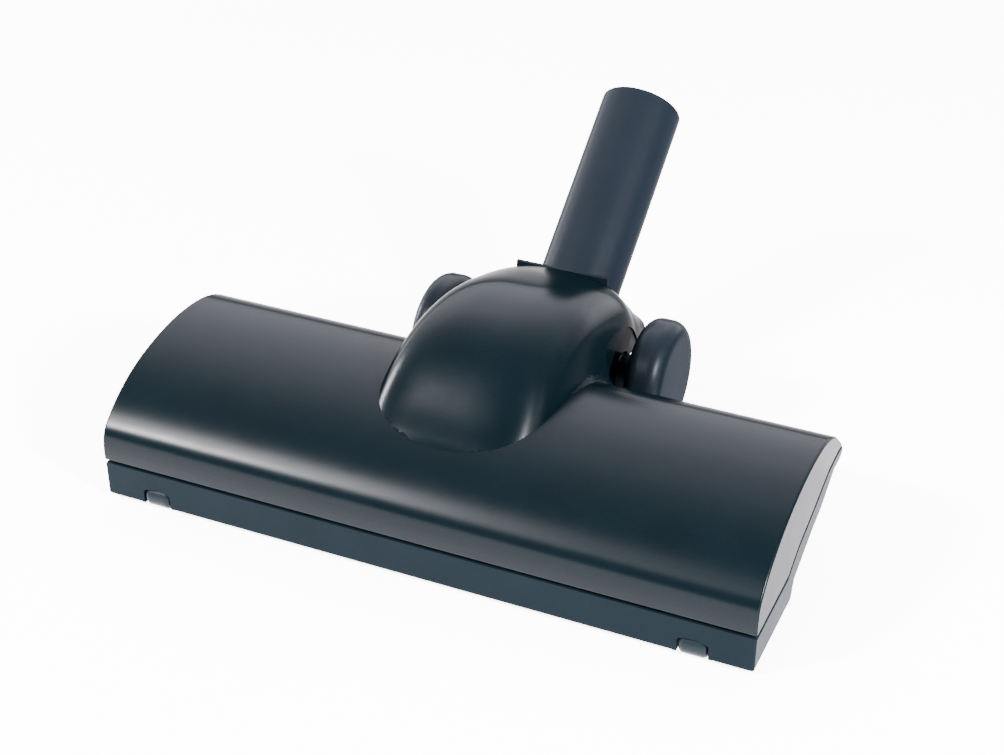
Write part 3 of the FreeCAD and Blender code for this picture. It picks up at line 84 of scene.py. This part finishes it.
def plastic(name, base, rough=0.3, grain=0.03, grain_scale=5200.0, vary=0.10, spec=0.05, coat=0.0, scuff=0.015, rim=None):
    """Moulded plastic: a fine spark-eroded grain, faint flow marks in colour and gloss, light handling marks."""
    m, nt, b = new_mat(name)
    tc = nt.nodes.new("ShaderNodeTexCoord")
    vec = tc.outputs["Object"]
    cloud = noise(nt, vec, 38.0, 4.0, 0.55)
    lo = tuple(c * (1 - vary) for c in base)
    hi = tuple(min(1.0, c * (1 + vary)) for c in base)
    link(nt, ramp(nt, cloud, [(0.3, lo), (0.7, hi)]), b.inputs["Base Color"])
    # gloss: cloudy, with short fine marks from handling
    mp = nt.nodes.new("ShaderNodeMapping")
    mp.inputs["Scale"].default_value = (1.0, 6.0, 6.0)
    mp.inputs["Rotation"].default_value = (0.3, 0.2, 0.5)
    link(nt, vec, mp.inputs["Vector"])
    marks = noise(nt, mp.outputs["Vector"], 160.0, 5.0, 0.7)
    marks_c = ramp(nt, marks, [(0.56, 0.0), (0.72, 1.0)])
    gloss = noise(nt, vec, 95.0, 3.0, 0.5)
    mr = nt.nodes.new("ShaderNodeMapRange")
    mr.inputs["To Min"].default_value = rough - 0.03
    mr.inputs["To Max"].default_value = rough + 0.03
    link(nt, gloss, mr.inputs["Value"])
    add = nt.nodes.new("ShaderNodeMath")
    add.operation = "MULTIPLY_ADD"
    add.inputs[1].default_value = scuff
    link(nt, marks_c, add.inputs[0])
    link(nt, mr.outputs["Result"], add.inputs[2])
    link(nt, add.outputs["Value"], b.inputs["Roughness"])
    g = noise(nt, vec, grain_scale, 1.0, 0.5)
    bump = nt.nodes.new("ShaderNodeBump")
    bump.inputs["Strength"].default_value = grain
    bump.inputs["Distance"].default_value = 0.0002
    link(nt, g, bump.inputs["Height"])
    link(nt, bump.outputs["Normal"], b.inputs["Normal"])
    b.inputs["IOR"].default_value = 1.5
    b.inputs["Specular IOR Level"].default_value = spec
    if rim is not None:
        # the grained surface loses its gloss at flat angles, apart from the smoother end walls
        lw = nt.nodes.new("ShaderNodeLayerWeight")
        lw.inputs["Blend"].default_value = 0.5
        xyz = nt.nodes.new("ShaderNodeSeparateXYZ")
        link(nt, tc.outputs["Normal"], xyz.inputs["Vector"])
        ab = nt.nodes.new("ShaderNodeMath")
        ab.operation = "ABSOLUTE"
        link(nt, xyz.outputs["X"], ab.inputs[0])
        pw = nt.nodes.new("ShaderNodeMath")
        pw.operation = "POWER"
        pw.inputs[1].default_value = 40.0
        link(nt, ab.outputs["Value"], pw.inputs[0])
        low = nt.nodes.new("ShaderNodeMath")
        low.operation = "MULTIPLY_ADD"
        low.inputs[1].default_value = rim
        low.inputs[2].default_value = 0.0008
        pos = nt.nodes.new("ShaderNodeSeparateXYZ")
        link(nt, vec, pos.inputs["Vector"])
        away = nt.nodes.new("ShaderNodeMath")
        away.operation = "ABSOLUTE"
        link(nt, pos.outputs["X"], away.inputs[0])
        ends = nt.nodes.new("ShaderNodeMath")
        ends.operation = "GREATER_THAN"
        ends.inputs[1].default_value = 0.14
        link(nt, away.outputs["Value"], ends.inputs[0])
        wall = nt.nodes.new("ShaderNodeMath")
        wall.operation = "MULTIPLY"
        link(nt, pw.outputs["Value"], wall.inputs[0])
        link(nt, ends.outputs["Value"], wall.inputs[1])
        link(nt, wall.outputs["Value"], low.inputs[0])
        fall = nt.nodes.new("ShaderNodeMapRange")
        fall.inputs["From Min"].default_value = 0.40
        fall.inputs["From Max"].default_value = 0.72
        fall.inputs["To Min"].default_value = spec
        link(nt, lw.outputs["Facing"], fall.inputs["Value"])
        fall.inputs["To Max"].default_value = 0.0008
        side = nt.nodes.new("ShaderNodeMapRange")
        side.inputs["From Min"].default_value = 0.70
        side.inputs["From Max"].default_value = 0.88
        link(nt, ab.outputs["Value"], side.inputs["Value"])
        link(nt, fall.outputs["Result"], side.inputs["To Min"])
        link(nt, low.outputs["Value"], side.inputs["To Max"])
        link(nt, side.outputs["Result"], b.inputs["Specular IOR Level"])
    if coat:
        b.inputs["Coat Weight"].default_value = coat
        b.inputs["Coat Roughness"].default_value = 0.15
    return m


def metal(name, base, rough=0.3, lines=900.0, axis=0):
    """Ground or turned metal with fine lines round its axis."""
    m, nt, b = new_mat(name)
    tc = nt.nodes.new("ShaderNodeTexCoord")
    mp = nt.nodes.new("ShaderNodeMapping")
    sc = [60.0, 60.0, 60.0]
    sc[axis] = lines
    mp.inputs["Scale"].default_value = sc
    link(nt, tc.outputs["Object"], mp.inputs["Vector"])
    n = noise(nt, mp.outputs["Vector"], 4.0, 3.0, 0.6)
    link(nt, ramp(nt, n, [(0.3, tuple(c * 0.82 for c in base)), (0.7, base)]), b.inputs["Base Color"])
    mr = nt.nodes.new("ShaderNodeMapRange")
    mr.inputs["To Min"].default_value = rough - 0.08
    mr.inputs["To Max"].default_value = rough + 0.1
    link(nt, n, mr.inputs["Value"])
    link(nt, mr.outputs["Result"], b.inputs["Roughness"])
    bump = nt.nodes.new("ShaderNodeBump")
    bump.inputs["Strength"].default_value = 0.08
    bump.inputs["Distance"].default_value = 0.0002
    link(nt, n, bump.inputs["Height"])
    link(nt, bump.outputs["Normal"], b.inputs["Normal"])
    b.inputs["Metallic"].default_value = 1.0
    return m


def rubber(name, base, rough=0.7):
    m, nt, b = new_mat(name)
    tc = nt.nodes.new("ShaderNodeTexCoord")
    n = noise(nt, tc.outputs["Object"], 700.0, 4.0, 0.6)
    big = noise(nt, tc.outputs["Object"], 60.0, 3.0, 0.6)
    link(nt, ramp(nt, big, [(0.3, tuple(c * 0.8 for c in base)), (0.75, tuple(c * 1.5 for c in base))]), b.inputs["Base Color"])
    mr = nt.nodes.new("ShaderNodeMapRange")
    mr.inputs["To Min"].default_value = rough - 0.1
    mr.inputs["To Max"].default_value = rough + 0.12
    link(nt, n, mr.inputs["Value"])
    link(nt, mr.outputs["Result"], b.inputs["Roughness"])
    bump = nt.nodes.new("ShaderNodeBump")
    bump.inputs["Strength"].default_value = 0.25
    bump.inputs["Distance"].default_value = 0.0003
    link(nt, n, bump.inputs["Height"])
    link(nt, bump.outputs["Normal"], b.inputs["Normal"])
    return m


def felt(name, base):
    m, nt, b = new_mat(name)
    tc = nt.nodes.new("ShaderNodeTexCoord")
    v = nt.nodes.new("ShaderNodeTexVoronoi")
    v.inputs["Scale"].default_value = 1500.0
    link(nt, tc.outputs["Object"], v.inputs["Vector"])
    n = noise(nt, tc.outputs["Object"], 2600.0, 4.0, 0.7)
    link(nt, ramp(nt, n, [(0.3, tuple(c * 0.6 for c in base)), (0.7, tuple(min(1, c * 1.4) for c in base))]), b.inputs["Base Color"])
    bump = nt.nodes.new("ShaderNodeBump")
    bump.inputs["Strength"].default_value = 0.8
    bump.inputs["Distance"].default_value = 0.0004
    link(nt, v.outputs["Distance"], bump.inputs["Height"])
    link(nt, bump.outputs["Normal"], b.inputs["Normal"])
    b.inputs["Roughness"].default_value = 0.95
    b.inputs["Sheen Weight"].default_value = 0.4
    return m


M = {
    "cover_plastic": plastic("cover_plastic", (0.0008, 0.0023, 0.0032), 0.25, rim=0.004),
    "base_plastic": plastic("base_plastic", (0.0019, 0.0040, 0.0056), 0.34, spec=0.014, rim=0.004),
    "neck_plastic": plastic("neck_plastic", (0.0040, 0.0056, 0.0077), 0.30, vary=0.05, spec=0.05, scuff=0.003, rim=0.0008),
    "yoke_plastic": plastic("yoke_plastic", (0.0016, 0.0034, 0.0046), 0.42, spec=0.02, rim=0.0008),
    "wheel_plastic": plastic("wheel_plastic", (0.0026, 0.0042, 0.0060), 0.36, grain=0.05, rim=0.0008),
    "roller_plastic": plastic("roller_plastic", (0.0030, 0.0055, 0.0070), 0.4),
    "axle_plastic": plastic("axle_plastic", (0.003, 0.005, 0.007), 0.4, spec=0.03, rim=0.0008),
    "case_plastic": plastic("case_plastic", (0.030, 0.032, 0.035), 0.5),
    "turbine_plastic": plastic("turbine_plastic", (0.40, 0.39, 0.35), 0.45, vary=0.06),
    "inner_plastic": plastic("inner_plastic", (0.008, 0.009, 0.010), 0.5),
    "core_plastic": plastic("core_plastic", (0.008, 0.010, 0.012), 0.45),
    "pulley_plastic": plastic("pulley_plastic", (0.012, 0.013, 0.014), 0.5),
    "bristle_nylon": plastic("bristle_nylon", (0.006, 0.007, 0.008), 0.38, grain=0.0, spec=0.2),
    "belt_rubber": rubber("belt_rubber", (0.008, 0.008, 0.008)),
    "seat_rubber": rubber("seat_rubber", (0.009, 0.009, 0.010)),
    "seal_felt": felt("seal_felt", (0.03, 0.03, 0.032)),
    "shaft_steel": metal("shaft_steel", (0.30, 0.30, 0.31), 0.3),
    "screw_steel": metal("screw_steel", (0.26, 0.265, 0.27), 0.34),
    "bearing_bronze": metal("bearing_bronze", (0.28, 0.18, 0.08), 0.42),
}
slots = {s["node"]: s["material_slot"] for s in frame["record"]["subparts"]}
for name, obj in nodes.items():
    obj.data.materials.clear()
    obj.data.materials.append(M[slots[name]])


# ----------------------------------------------------- pieces made for the look
def spline(xs, ys):
    """Natural cubic through the points, as a function of arrays; gives value and slope."""
    xs, ys = np.array(xs, float), np.array(ys, float)
    n = len(xs)
    h = np.diff(xs)
    A = np.zeros((n, n))
    rhs = np.zeros(n)
    A[0, 0] = A[-1, -1] = 1.0
    for i in range(1, n - 1):
        A[i, i - 1], A[i, i], A[i, i + 1] = h[i - 1], 2 * (h[i - 1] + h[i]), h[i]
        rhs[i] = 6 * ((ys[i + 1] - ys[i]) / h[i] - (ys[i] - ys[i - 1]) / h[i - 1])
    m = np.linalg.solve(A, rhs)

    def f(x):
        x = np.clip(np.asarray(x, float), xs[0], xs[-1])
        k = np.clip(np.searchsorted(xs, x) - 1, 0, n - 2)
        t0, t1 = x - xs[k], xs[k + 1] - x
        v = (m[k] * t1 ** 3 + m[k + 1] * t0 ** 3) / (6 * h[k]) + (ys[k] / h[k] - m[k] * h[k] / 6) * t1 \
            + (ys[k + 1] / h[k] - m[k + 1] * h[k] / 6) * t0
        g = (-m[k] * t1 ** 2 + m[k + 1] * t0 ** 2) / (2 * h[k]) - (ys[k] / h[k] - m[k] * h[k] / 6) \
            + (ys[k + 1] / h[k] - m[k + 1] * h[k] / 6)
        return v, g
    return f


# outer section of the cover and the stations of its dome, in millimetres from the front wall
PROFILE = [(-1.0, 19.4), (-1.08, 21.8), (-1.08, 24.6), (-0.72, 28.2), (0.5, 32.4), (4.5, 37.2), (10.0, 41.8), (17.0, 46.2),
           (25.0, 50.0), (34.0, 53.1), (44.0, 55.4), (56.0, 57.1), (66.0, 57.5), (76.0, 56.9),
           (86.0, 55.0), (94.0, 51.9), (101.0, 47.4), (106.5, 42.8), (112.2, 37.7)]
DOME = [(21.0, 47.2, 11.0, 3.5), (22.5, 48.7, 19.5, 3.5), (24.5, 50.1, 25.6, 3.5), (28.0, 52.7, 32.4, 3.45), (34.0, 57.3, 37.0, 3.35), (42.0, 64.2, 39.3, 3.2), (52.0, 72.6, 40.6, 3.1),
        (66.0, 80.8, 41.3, 3.0), (84.0, 84.7, 41.2, 3.0), (104.0, 83.5, 40.3, 3.0), (122.0, 78.5, 39.1, 3.0),
        (140.0, 72.2, 37.9, 3.0), (152.0, 67.2, 36.8, 2.95), (157.0, 65.0, 36.1, 2.8), (161.0, 62.2, 35.5, 2.6),
        (166.0, 57.2, 34.9, 2.5), (171.5, 50.6, 34.1, 2.4), (177.0, 43.4, 33.2, 2.4), (181.0, 38.0, 32.3, 2.4)]


def copy_of(node, name, body, slot):
    """A copy of a CAD node that stands for it, to be refined."""
    o = bpy.data.objects.new(name, nodes[node].data.copy())
    bpy.context.scene.collection.objects.link(o)
    o.data.materials.clear()
    o.data.materials.append(M[slot])
    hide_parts(node)
    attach(o, body)
    return o


DT, DA, DP = (spline([r[0] for r in DOME], [r[k] for r in DOME]) for k in (1, 2, 3))


def dome_field(P):
    """Distance in mm (about) to the dome's surface, and the direction straight out of it."""
    (top, dtop), (half, dhalf), (pw, dpw) = DT(P[:, 1]), DA(P[:, 1]), DP(P[:, 1])
    h = top - 30.0
    u = np.clip(np.abs(P[:, 0]) / half, 1e-4, 1.2)
    w = np.clip((P[:, 2] - 30.0) / h, 1e-4, 1.2)
    val = u ** pw + w ** pw
    gx = pw * u ** (pw - 1) / half * np.sign(P[:, 0])
    gz = pw * w ** (pw - 1) / h
    gy = pw * u ** (pw - 1) * (-u / half * dhalf) + pw * w ** (pw - 1) * (-w / h * dtop) \
        + dpw * (u ** pw * np.log(u) + w ** pw * np.log(w))
    g = np.stack([gx, gy, gz], 1)
    size = np.linalg.norm(g, axis=1)
    return (val - 1.0) / size, g / size[:, None]


def refine_front(me, cy, cz):
    """Cut the cover's long outer faces along its section and set the new points on the true curve."""
    bm = bmesh.new()
    bm.from_mesh(me)

    def gap(v):
        d = (v.co.y * 1000 + Y0 * 1000 - cy) ** 2 + (v.co.z * 1000 - cz) ** 2
        k = int(d.argmin())
        return math.sqrt(d[k]), k

    near = {v for v in bm.verts if abs(v.co.x) < 0.1442 and gap(v)[0] < 0.12}
    geom = [f for f in bm.faces if all(v in near for v in f.verts) and abs(f.normal.x) < 0.5]
    planes = [((0, 0, z / 1000.0), (0, 0, 1)) for z in np.arange(21.0, 47.0, 0.9)]
    planes += [((0, y / 1000.0 - Y0, 0), (0, 1, 0)) for y in np.arange(14.0, 108.0, 5.0)]
    old = set(bm.verts)
    for co, no in planes:
        whole = set(geom)
        for f in geom:
            whole.update(f.edges)
            whole.update(f.verts)
        out = bmesh.ops.bisect_plane(bm, geom=list(whole), dist=1e-6, plane_co=co, plane_no=no)
        geom = [g for g in out["geom"] if isinstance(g, bmesh.types.BMFace) and g.is_valid]
    def mm(v):
        return np.array([[v.co.x * 1000, (v.co.y + Y0) * 1000, v.co.z * 1000]])

    def on_section(v, reach):
        d, k = gap(v)
        if d < reach:
            v.co.y, v.co.z = cy[k] / 1000.0 - Y0, cz[k] / 1000.0
        return d < reach

    skin = set()
    for f in geom:
        skin.update(f.verts)
    for v in skin - old:
        on_section(v, 1.0)
    # the foot of the dome, where it leaves the cover
    pts = np.array([(v.co.x * 1000, (v.co.y + Y0) * 1000, v.co.z * 1000) for v in bm.verts])
    d, _ = dome_field(pts)
    foot = {v for v, q, e in zip(bm.verts, pts, d) if abs(e) < 0.3 and 21.0 < q[1] < 62.0 and 45.5 < q[2] < 66.0}
    geom = [f for f in bm.faces if all(v in foot for v in f.verts)]
    old = set(bm.verts)
    planes = [((0, 0, z / 1000.0), (0, 0, 1)) for z in np.arange(47.3, 62.0, 1.5)]
    planes += [((x / 1000.0, 0, 0), (1, 0, 0)) for x in np.arange(-42.0, 42.1, 3.5)]
    for co, no in planes:
        whole = set(geom)
        for f in geom:
            whole.update(f.edges)
            whole.update(f.verts)
        out = bmesh.ops.bisect_plane(bm, geom=list(whole), dist=1e-6, plane_co=co, plane_no=no)
        geom = [g for g in out["geom"] if isinstance(g, bmesh.types.BMFace) and g.is_valid]
    dome_faces = set(geom)
    for v in bm.verts:
        if v in old or not any(f in dome_faces for f in v.link_faces):
            continue
        shared = any(f not in dome_faces for f in v.link_faces)
        for _ in range(4 if shared else 1):
            e, n = dome_field(mm(v))
            if abs(e[0]) < 0.8:
                v.co -= Vector(tuple(n[0] * e[0] / 1000.0))
            if shared:
                on_section(v, 0.8)
    bm.to_mesh(me)
    bm.free()
    me.update()


def fair_cover():
    """The cover's curved faces get the exact direction of their surface at every corner."""
    o = copy_of("top_cover", "cover_fair", "head", "cover_plastic")
    me = o.data
    prof = np.array(PROFILE)
    chord = np.concatenate([[0], np.cumsum(np.hypot(*np.diff(prof, axis=0).T))])
    fy, fz = spline(chord, prof[:, 0]), spline(chord, prof[:, 1])
    tt = np.linspace(0, chord[-1], 3000)
    (cy, dy), (cz, dz) = fy(tt), fz(tt)
    refine_front(me, cy, cz)
    nv, nl, npoly = len(me.vertices), len(me.loops), len(me.polygons)
    co = np.empty(nv * 3)
    me.vertices.foreach_get("co", co)
    co = co.reshape(-1, 3) * 1000.0
    co[:, 1] += Y0 * 1000.0
    lv = np.empty(nl, int)
    me.loops.foreach_get("vertex_index", lv)
    ln = np.empty(nl * 3)
    me.corner_normals.foreach_get("vector", ln)
    ln = ln.reshape(-1, 3)
    start, total = np.empty(npoly, int), np.empty(npoly, int)
    me.polygons.foreach_get("loop_start", start)
    me.polygons.foreach_get("loop_total", total)
    fn = np.empty(npoly * 3)
    me.polygons.foreach_get("normal", fn)
    fn = fn.reshape(-1, 3)
    face = np.repeat(np.arange(npoly), total)
    order = np.argsort(np.repeat(start, total) + np.concatenate([np.arange(t) for t in total]))
    face = face[order]
    P, F = co[lv], fn[face]
    # curved front, crest and back of the cover: nearest point of its section
    best = np.full(nl, 1e9)
    idx = np.zeros(nl, int)
    for a in range(0, nl, 4000):
        dd = (P[a:a + 4000, 1:2] - cy) ** 2 + (P[a:a + 4000, 2:3] - cz) ** 2
        idx[a:a + 4000] = dd.argmin(1)
        best[a:a + 4000] = np.sqrt(dd.min(1))
    nrm = np.stack([np.zeros(nl), -dz[idx], dy[idx]], 1)
    nrm /= np.linalg.norm(nrm, axis=1)[:, None]
    agree = (nrm * F).sum(1)
    whole = np.ones(npoly, bool)
    np.logical_and.at(whole, face, best < 0.12)
    on_cover = (best < 0.12) & (agree > np.where(whole[face], 0.2, 0.9)) & (np.abs(P[:, 0]) < 144.05) & (P[:, 2] > 20.35)
    # dome: gradient of its rounded section
    dist, g = dome_field(P)
    off = np.abs(dist)
    whole = np.ones(npoly, bool)
    np.logical_and.at(whole, face, off < 0.6)
    on_dome = (off < 0.6) & ((g * F).sum(1) > np.where(whole[face], 0.4, 0.9)) & (P[:, 1] > 21.6) & (P[:, 1] < 178.0) & (P[:, 2] > 32.0) & ~on_cover
    ln[on_cover] = nrm[on_cover]
    ln[on_dome] = g[on_dome]
    me.normals_split_custom_set([tuple(v) for v in ln])
    print("cover corners set:", int(on_cover.sum()), "dome:", int(on_dome.sum()), "of", nl)
    return o


fair_cover()


def tufts(name, node, start):
    """A bristle strip: a backing held in the roll's groove, with two rows of nylon tufts."""
    rng = np.random.default_rng(7 if name.endswith("a") else 11)
    half, y0, z0 = 111.9, 28.5 - Y0 * 1000.0, 21.0
    verts, faces = [], []

    def frame_at(x):
        a = start + math.radians(70.0) * (1 - abs(x) / half)
        return np.array([0, math.cos(a), math.sin(a)]), np.array([0, -math.sin(a), math.cos(a)])

    rows = np.linspace(-half + 0.05, half - 0.05, 81)
    for k, x in enumerate(rows):
        n, u = frame_at(x)
        for r, w in ((10.6, 1.9), (13.2, 1.9), (13.9, 1.2), (13.9, -1.2), (13.2, -1.9), (10.6, -1.9)):
            verts.append(np.array([x, y0, z0]) + n * r + u * w)
        if k:
            b = (k - 1) * 6
            for j in range(6):
                faces.append((b + j, b + (j + 1) % 6, b + 6 + (j + 1) % 6, b + 6 + j))
    faces.append((0, 1, 2, 3, 4, 5))
    b = (len(rows) - 1) * 6
    faces.append((b + 5, b + 4, b + 3, b + 2, b + 1, b))
    for x in np.arange(-half + 1.4, half - 1.3, 2.7):
        for row in (-0.85, 0.85):
            n, u = frame_at(x)
            for _ in range(13):
                ang, rad = rng.uniform(0, 2 * math.pi), 0.62 * math.sqrt(rng.uniform())
                ex, eu = rad * math.cos(ang), row + 0.75 * rad * math.sin(ang)
                tx, tu = ex * 1.7 + rng.normal(0, 0.12), eu * 1.25 + rng.normal(0, 0.1)
                length = 20.25 - abs(rng.normal(0, 0.22))
                base = len(verts)
                for r, f in ((13.6, 0.0), (17.0, 0.45), (length, 1.0)):
                    c = np.array([x, y0, z0]) + n * r + u * (eu + (tu - eu) * f) + np.array([ex + (tx - ex) * f, 0, 0])
                    for q in range(3):
                        t = 2 * math.pi * q / 3 + ang
                        verts.append(c + 0.13 * (math.cos(t) * np.array([1.0, 0, 0]) + math.sin(t) * u))
                for lv in (0, 3):
                    for q in range(3):
                        a, c2 = base + lv + q, base + lv + (q + 1) % 3
                        faces.append((a, c2, c2 + 3, a + 3))
                faces.append((base + 6, base + 7, base + 8))
                faces.append((base + 2, base + 1, base))
    me = bpy.data.meshes.new(name)
    me.from_pydata([tuple(v / 1000.0) for v in verts], [], faces)
    me.materials.append(M["bristle_nylon"])
    me.polygons.foreach_set("use_smooth", [False] * len(me.polygons))
    me.update()
    o = bpy.data.objects.new(name, me)
    bpy.context.scene.collection.objects.link(o)
    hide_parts(node)
    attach(o, "brush")
    return o


tufts("tufts_a", "bristle_strip_a", math.radians(-100.0))
tufts("tufts_b", "bristle_strip_b", math.radians(80.0))

# --------------------------------------------------------------------- camera
cam_data = bpy.data.cameras.new("camera")
cam_data.sensor_fit = "HORIZONTAL"
cam_data.sensor_width = 36.0
cam_data.lens = 1901.41 / 1004.0 * 36.0
cam = bpy.data.objects.new("camera", cam_data)
cam.location = (0.28338, -0.54457 - Y0, 0.47656)
cam.rotation_euler = (math.radians(90.0 - 31.800), 0.0, math.radians(24.051))
bpy.context.scene.collection.objects.link(cam)
bpy.context.scene.camera = cam


# ---------------------------------------------------------------------- stage
floor_mesh = bpy.data.meshes.new("floor")
R = 6.0
floor_mesh.from_pydata([(-R, -R, 0), (R, -R, 0), (R, R, 0), (-R, R, 0)], [], [(0, 1, 2, 3)])
floor = bpy.data.objects.new("floor", floor_mesh)
bpy.context.scene.collection.objects.link(floor)
fm, fnt, fb = new_mat("floor_paper")
ftc = fnt.nodes.new("ShaderNodeTexCoord")
fcol = ramp(fnt, noise(fnt, ftc.outputs["Object"], 3.0, 2.0), [(0.2, (0.86, 0.845, 0.85)), (0.8, (0.88, 0.865, 0.87))])
link(fnt, fcol, fb.inputs["Base Color"])
fb.inputs["Roughness"].default_value = 0.9
fb.inputs["Specular IOR Level"].default_value = 0.05
fb.inputs["Emission Color"].default_value = (1.0, 0.955, 0.97, 1)
fb.inputs["Emission Strength"].default_value = 7.0
floor_mesh.materials.append(fm)

# a studio: soft pale wall behind, dim room on the camera's side
world = bpy.data.worlds.new("studio")
bpy.context.scene.world = world
world.use_nodes = True
wn = world.node_tree
bg = wn.nodes["Background"]
wtc = wn.nodes.new("ShaderNodeTexCoord")
dot = wn.nodes.new("ShaderNodeVectorMath")
dot.operation = "DOT_PRODUCT"
dot.inputs[1].default_value = (-0.30, 0.80, 0.52)
wn.links.new(wtc.outputs["Generated"], dot.inputs[0])
sheet = ramp(wn, dot.outputs["Value"], [(0.0, (0.26, 0.29, 0.32)), (0.45, (0.9, 1.0, 1.1)), (0.72, (3.5, 3.5, 3.8)), (0.96, (8.2, 7.9, 8.7))])
wn.links.new(sheet, bg.inputs["Color"])
bg.inputs["Strength"].default_value = 1.0


def softbox(name, loc, target, along, long_side, short_side, radiance, color=(1, 1, 1)):
    """A rectangular lamp whose long side follows the given direction; radiance in W per m2 and sr."""
    d = bpy.data.lights.new(name, "AREA")
    d.shape = "RECTANGLE"
    d.size, d.size_y = long_side, short_side
    d.energy = radiance * long_side * short_side * math.pi
    d.color = color
    z = (Vector(loc) - Vector(target)).normalized()
    x = Vector(along)
    x = (x - z * x.dot(z)).normalized()
    y = z.cross(x)
    o = bpy.data.objects.new(name, d)
    o.matrix_world = Matrix(((x.x, y.x, z.x, loc[0]), (x.y, y.y, z.y, loc[1]), (x.z, y.z, z.z, loc[2]), (0, 0, 0, 1)))
    bpy.context.scene.collection.objects.link(o)
    return o


ALONG = (0.80, 0.29, 0.53)
PINKISH, BLUISH = (1.0, 0.97, 0.99), (0.93, 0.94, 1.0)
softbox("key_a", (-1.168, -1.25, 1.31), (-0.08, -0.12, 0.04), ALONG, 0.30, 0.14, 1300.0, PINKISH)
softbox("key_b", (-0.93, -1.18, 1.46), (-0.04, -0.12, 0.04), ALONG, 0.40, 0.14, 210.0, PINKISH)
softbox("fill", (-0.9, -1.9, 2.2), (0.0, -0.12, 0.04), (1, 0, 0), 1.6, 0.9, 12.0, PINKISH)
softbox("right_strip", (1.315, -0.575, 0.887), (0.04, -0.09, 0.05), (0, 0, 1), 0.24, 0.14, 1500.0, BLUISH)
softbox("right_soft", (1.5, -0.05, 0.45), (0.1, -0.02, 0.04), (0, 0, 1), 0.7, 0.9, 9.0, BLUISH)
softbox("left_low", (-1.46, 0.23, 0.275), (-0.03, -0.10, 0.05), (0, 0, 1), 0.30, 0.20, 160.0, BLUISH)
